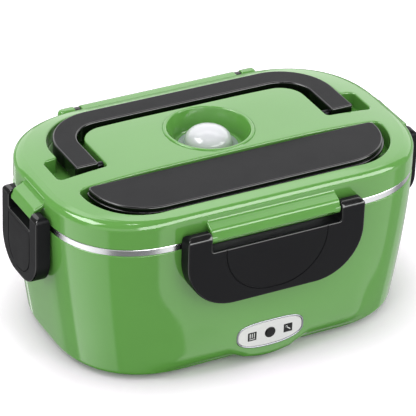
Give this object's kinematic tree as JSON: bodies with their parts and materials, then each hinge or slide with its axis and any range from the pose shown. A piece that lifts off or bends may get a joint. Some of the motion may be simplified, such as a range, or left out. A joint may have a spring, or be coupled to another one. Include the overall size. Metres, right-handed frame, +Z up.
{
  "type": "electric lunch box",
  "caption": "Heated lunch box with a steel container, a hinged lid with clip latches, a folding carry handle, a vent plug and a cutlery case.",
  "frame": {"origin": "centre of the base, on the surface that the feet stand on", "axes": "+X to the right along the front, +Y from the front latch to the rear hinge, +Z up"},
  "size_m": [0.2382, 0.1486, 0.1077],
  "materials": {
    "green_shell": "smooth glossy moulding",
    "green_inner": "smooth moulding",
    "black_gloss": "satin faces with glossy edges",
    "black_trim": "satin",
    "stainless_steel": "satin",
    "fastener_steel": "zinc plated",
    "chrome_trim": "bright",
    "white_face": "glossy",
    "white_silicone": "glossy",
    "seal_silicone": "translucent satin",
    "foot_rubber": "matt",
    "heater_aluminium": "cast",
    "ceramic": "matt",
    "board_laminate": "solder mask",
    "board_components": "moulded",
    "wire_insulation": "satin",
    "contact_brass": "plated",
    "lamp": "clear"
  },
  "bodies": {
    "box_body": {"body_shell": "green_shell", "base_plate": "green_shell", "rubber_feet": "foot_rubber", "base_screws": "fastener_steel", "inner_liner": "black_trim", "steel_container": "stainless_steel", "heater_plate": "heater_aluminium", "heating_elements": "ceramic", "heater_clamp": "fastener_steel", "clamp_screws": "fastener_steel", "thermostat": "black_trim", "thermal_fuse": "ceramic", "power_board": "board_laminate", "board_parts": "board_components", "heater_leads": "wire_insulation", "indicator_led": "lamp", "power_inlet": "black_trim", "inlet_pins": "contact_brass", "panel_bezel": "chrome_trim", "panel_face": "white_face", "panel_icons": "black_trim", "indicator_lens": "black_trim", "hinge_pins": "fastener_steel", "hinge_bushes": "black_trim"},
    "lid": {"lid_shell": "green_shell", "lid_liner": "green_inner", "seal_gasket": "seal_silicone", "lid_screws": "fastener_steel", "handle_pins": "fastener_steel", "vent_seat": "seal_silicone"},
    "handle": {"carry_handle": "black_gloss"},
    "vent": {"vent_plug": "white_silicone"},
    "cutlery_case": {"cutlery_tray": "black_gloss", "spoon": "stainless_steel", "fork": "stainless_steel"},
    "case_cover": {"cutlery_cover": "black_gloss"},
    "latch_front": {"front_latch": "black_gloss"},
    "latch_left": {"left_latch": "black_gloss"},
    "latch_right": {"right_latch": "black_gloss"}
  },
  "joints": [
    {"name": "lid_hinge", "type": "hinge", "parent": "box_body", "child": "lid", "pos_m": [0, 0.07, 0.0972], "axis": [-1, 0, 0], "range_deg": [0, 100]},
    {"name": "handle_pivot", "type": "hinge", "parent": "lid", "child": "handle", "pos_m": [0, 0.0018, 0.1032], "axis": [1, 0, 0], "range_deg": [0, 90]},
    {"name": "vent_lift", "type": "slide", "parent": "lid", "child": "vent", "axis": [0, 0, 1], "range_m": [0, 0.005]},
    {"name": "case_lift", "type": "slide", "parent": "lid", "child": "cutlery_case", "axis": [0, 0, 1], "range_m": [0, 0.03]},
    {"name": "cover_lift", "type": "slide", "parent": "cutlery_case", "child": "case_cover", "axis": [0, 0, 1], "range_m": [0, 0.02]},
    {"name": "front_latch_pivot", "type": "hinge", "parent": "lid", "child": "latch_front", "pos_m": [0, -0.0703, 0.089], "axis": [-1, 0, 0], "range_deg": [0, 105]},
    {"name": "left_latch_pivot", "type": "hinge", "parent": "lid", "child": "latch_left", "pos_m": [-0.1146, 0, 0.089], "axis": [0, 1, 0], "range_deg": [0, 105]},
    {"name": "right_latch_pivot", "type": "hinge", "parent": "lid", "child": "latch_right", "pos_m": [0.1146, 0, 0.089], "axis": [0, -1, 0], "range_deg": [0, 105]}
  ]
}
